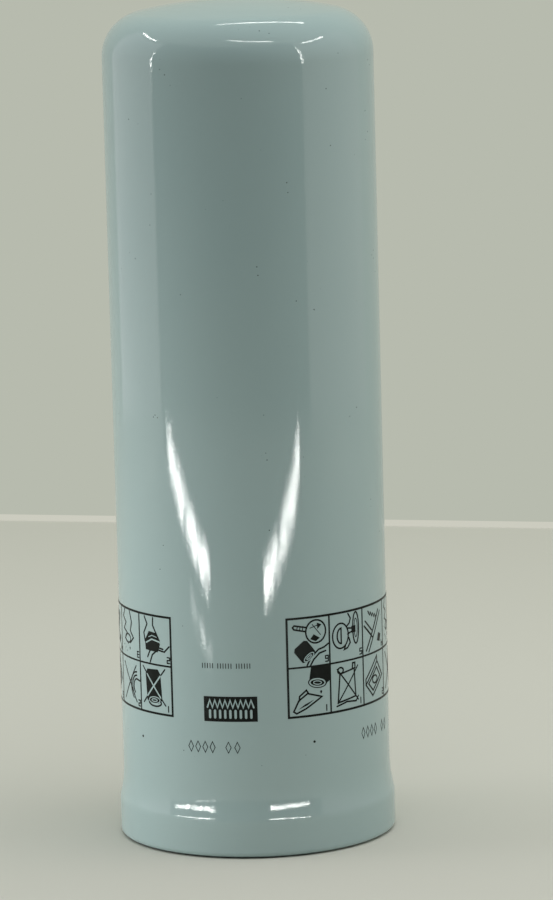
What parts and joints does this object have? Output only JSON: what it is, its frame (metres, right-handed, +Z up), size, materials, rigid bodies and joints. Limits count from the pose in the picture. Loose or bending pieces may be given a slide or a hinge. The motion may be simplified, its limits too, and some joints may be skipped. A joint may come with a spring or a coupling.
{
  "type": "spin-on oil filter",
  "caption": "Tall spin-on oil filter: painted deep-drawn can with a bell-mouthed skirt and domed end, threaded base plate with gasket, sprung pleated element and bypass valve inside.",
  "frame": {"origin": "centre of the standing plane under the gasket's lower face", "axes": "+Z up along the can's axis towards the domed end; -Y faces the side with the two printed panels"},
  "size_m": [0.13, 0.13, 0.392],
  "materials": {
    "can_paint": "gloss",
    "print_ink": "printed",
    "plate_steel": "machined",
    "gasket_rubber": "smooth",
    "flap_rubber": "smooth",
    "zinc_steel": "zinc plated",
    "spring_steel": "oiled wire",
    "filter_paper": "matte",
    "potting": "cured adhesive",
    "hot_melt": "satin"
  },
  "bodies": {
    "shell": {"can": "can_paint", "base_plate": "plate_steel", "gasket": "gasket_rubber", "plate_seal": "gasket_rubber", "element_spring": "spring_steel"},
    "flap": {"drainback_flap": "flap_rubber"},
    "element": {"hub_grommet": "gasket_rubber", "lower_end_cap": "zinc_steel", "upper_end_cap": "zinc_steel", "lower_bond": "potting", "upper_bond": "potting", "pleated_media": "filter_paper", "seam_clip": "zinc_steel", "centre_tube": "zinc_steel", "pleat_bead_1": "hot_melt", "pleat_bead_2": "hot_melt", "pleat_bead_3": "hot_melt", "bypass_seat": "zinc_steel", "bypass_cage": "zinc_steel", "bypass_spring": "spring_steel", "spring_seat": "zinc_steel"},
    "bypass": {"bypass_facing": "flap_rubber", "bypass_disc": "plate_steel", "bypass_stem": "spring_steel"}
  },
  "joints": [
    {"name": "element_float", "type": "slide", "parent": "shell", "child": "element", "axis": [0, 0, 1], "range_m": [0, 0.003], "stiffness_N_per_m": 4000, "springref_m": -0.008, "deforming": ["element_spring"]},
    {"name": "bypass_lift", "type": "slide", "parent": "element", "child": "bypass", "axis": [0, 0, -1], "range_m": [0, 0.004], "stiffness_N_per_m": 1500, "springref_m": -0.004, "deforming": ["bypass_spring"]},
    {"name": "flap_lift", "type": "slide", "parent": "shell", "child": "flap", "axis": [0, 0, 1], "range_m": [0, 0.002], "stiffness_N_per_m": 300, "springref_m": -0.002}
  ]
}
